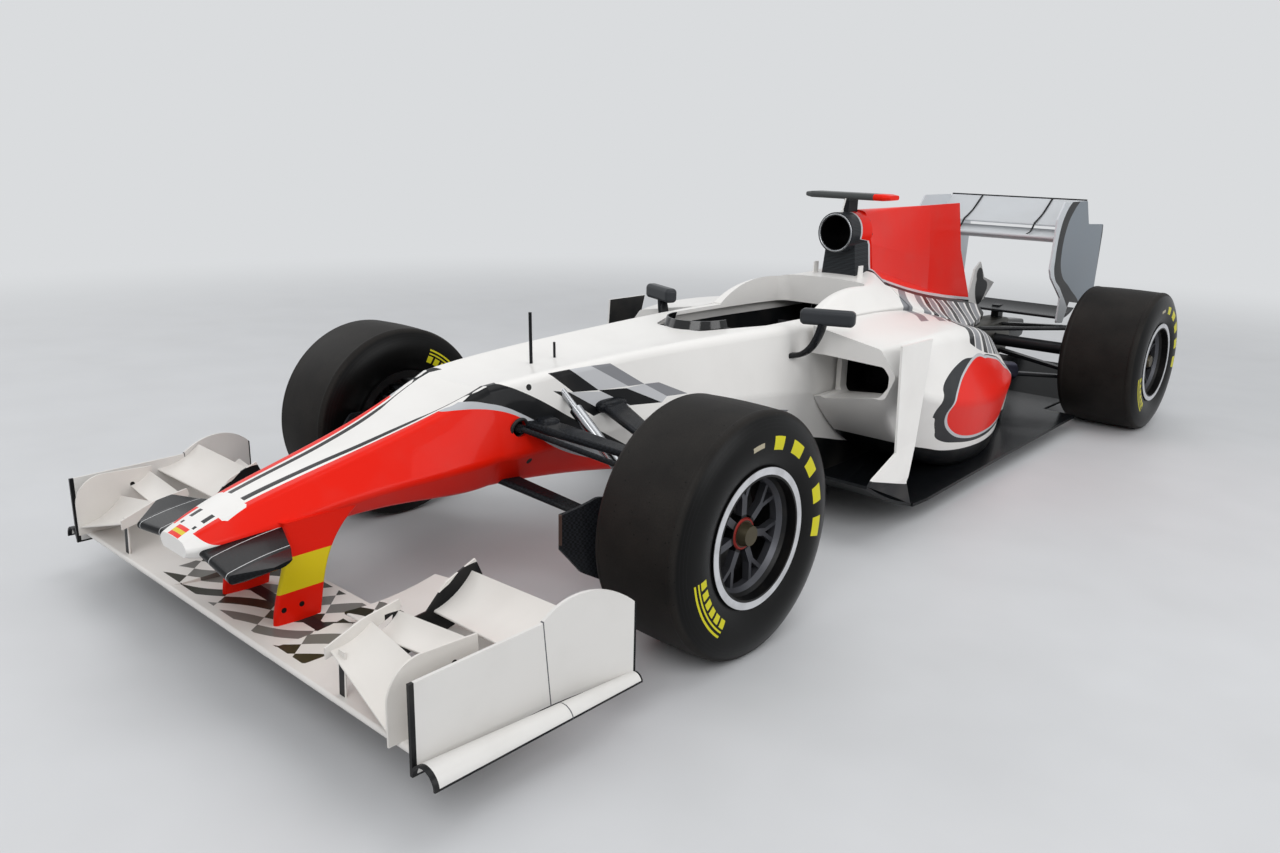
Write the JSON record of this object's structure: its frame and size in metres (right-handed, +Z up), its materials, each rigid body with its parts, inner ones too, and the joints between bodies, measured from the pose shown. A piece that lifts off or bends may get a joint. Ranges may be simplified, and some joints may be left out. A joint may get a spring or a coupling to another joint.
{
  "type": "open wheel racing car",
  "caption": "Single-seat open wheel racing car with slick tyres, a high nose, front and rear wings, cooling pods and a finned engine cover.",
  "frame": {"origin": "on the ground, midway along and across the car's box", "axes": "+X to the car's left, +Y from nose to tail, +Z up"},
  "size_m": [1.8, 4.83, 1.1049],
  "materials": {
    "white_paint": "pearl white clear-coated paint over carbon",
    "red_paint": "red clear-coated paint over carbon",
    "carbon": "clear-coated carbon",
    "dark_metal": "dark machined metal",
    "rim_metal": "dark grey painted magnesium",
    "tyre": "worn slick rubber",
    "alloy": "machined alloy",
    "seat_foam": "dark seat covering",
    "clear_screen": "clear screen",
    "exhaust_steel": "heat-tinted steel"
  },
  "bodies": {
    "chassis": {"monocoque": "white_paint", "nose_cone": "red_paint", "nose_pylons": "red_paint", "nose_pods": "carbon", "front_wing_main": "white_paint", "front_wing_flaps": "white_paint", "front_wing_cascades": "white_paint", "front_wing_endplates": "white_paint", "cockpit_surround": "white_paint", "seat": "seat_foam", "windscreen": "clear_screen", "mirrors": "carbon", "roll_structure": "carbon", "camera_bar": "carbon", "engine_cover": "white_paint", "sidepod_left": "white_paint", "sidepod_right": "white_paint", "turning_boards": "white_paint", "floor": "carbon", "diffuser": "carbon", "engine": "dark_metal", "gearbox": "carbon", "rear_crash_box": "carbon", "exhausts": "exhaust_steel", "rear_wing_planes": "white_paint", "rear_wing_endplates": "white_paint", "beam_wing": "carbon", "aerials": "dark_metal", "front_wishbones": "carbon", "front_pushrods": "alloy", "rear_wishbones": "carbon", "rear_uprights": "dark_metal", "steering_housing": "dark_metal"},
    "steering_wheel": {"steering_wheel": "carbon"},
    "steering_rack": {"steering_rack": "carbon"},
    "front_knuckle_left": {"front_upright_left": "dark_metal"},
    "front_knuckle_right": {"front_upright_right": "dark_metal"},
    "front_left_wheel": {"front_wheel_left": "rim_metal", "front_tyre_left": "tyre"},
    "front_right_wheel": {"front_wheel_right": "rim_metal", "front_tyre_right": "tyre"},
    "rear_left_wheel": {"rear_wheel_left": "rim_metal", "rear_tyre_left": "tyre"},
    "rear_right_wheel": {"rear_wheel_right": "rim_metal", "rear_tyre_right": "tyre"}
  },
  "joints": [
    {"name": "steer_left", "type": "hinge", "parent": "chassis", "child": "front_knuckle_left", "pos_m": [0.675, -1.34, 0.33], "axis": [0, 0, 1], "range_deg": [-14, 14]},
    {"name": "steer_right", "type": "hinge", "parent": "chassis", "child": "front_knuckle_right", "pos_m": [-0.675, -1.34, 0.33], "axis": [0, 0, 1], "range_deg": [-14, 14]},
    {"name": "rack_slide", "type": "slide", "parent": "chassis", "child": "steering_rack", "axis": [1, 0, 0], "range_m": [-0.0152, 0.0152]},
    {"name": "steering_wheel_turn", "type": "hinge", "parent": "chassis", "child": "steering_wheel", "pos_m": [0, -0.385, 0.56], "axis": [0, -1, 0], "range_deg": [-160.1, 160.1]},
    {"name": "front_left_roll", "type": "hinge", "parent": "front_knuckle_left", "child": "front_left_wheel", "pos_m": [0.75, -1.34, 0.33], "axis": [1, 0, 0], "continuous": true},
    {"name": "rear_left_roll", "type": "hinge", "parent": "chassis", "child": "rear_left_wheel", "pos_m": [0.71, 1.872, 0.33], "axis": [1, 0, 0], "continuous": true},
    {"name": "front_right_roll", "type": "hinge", "parent": "front_knuckle_right", "child": "front_right_wheel", "pos_m": [-0.75, -1.34, 0.33], "axis": [1, 0, 0], "continuous": true},
    {"name": "rear_right_roll", "type": "hinge", "parent": "chassis", "child": "rear_right_wheel", "pos_m": [-0.71, 1.872, 0.33], "axis": [1, 0, 0], "continuous": true}
  ],
  "couplings": [
    {"joint": "steer_right", "follows": "steer_left", "ratio": 1},
    {"joint": "rack_slide", "follows": "steer_left", "m_per_rad": 0.062},
    {"joint": "steering_wheel_turn", "follows": "steer_left", "ratio": -11.429}
  ]
}
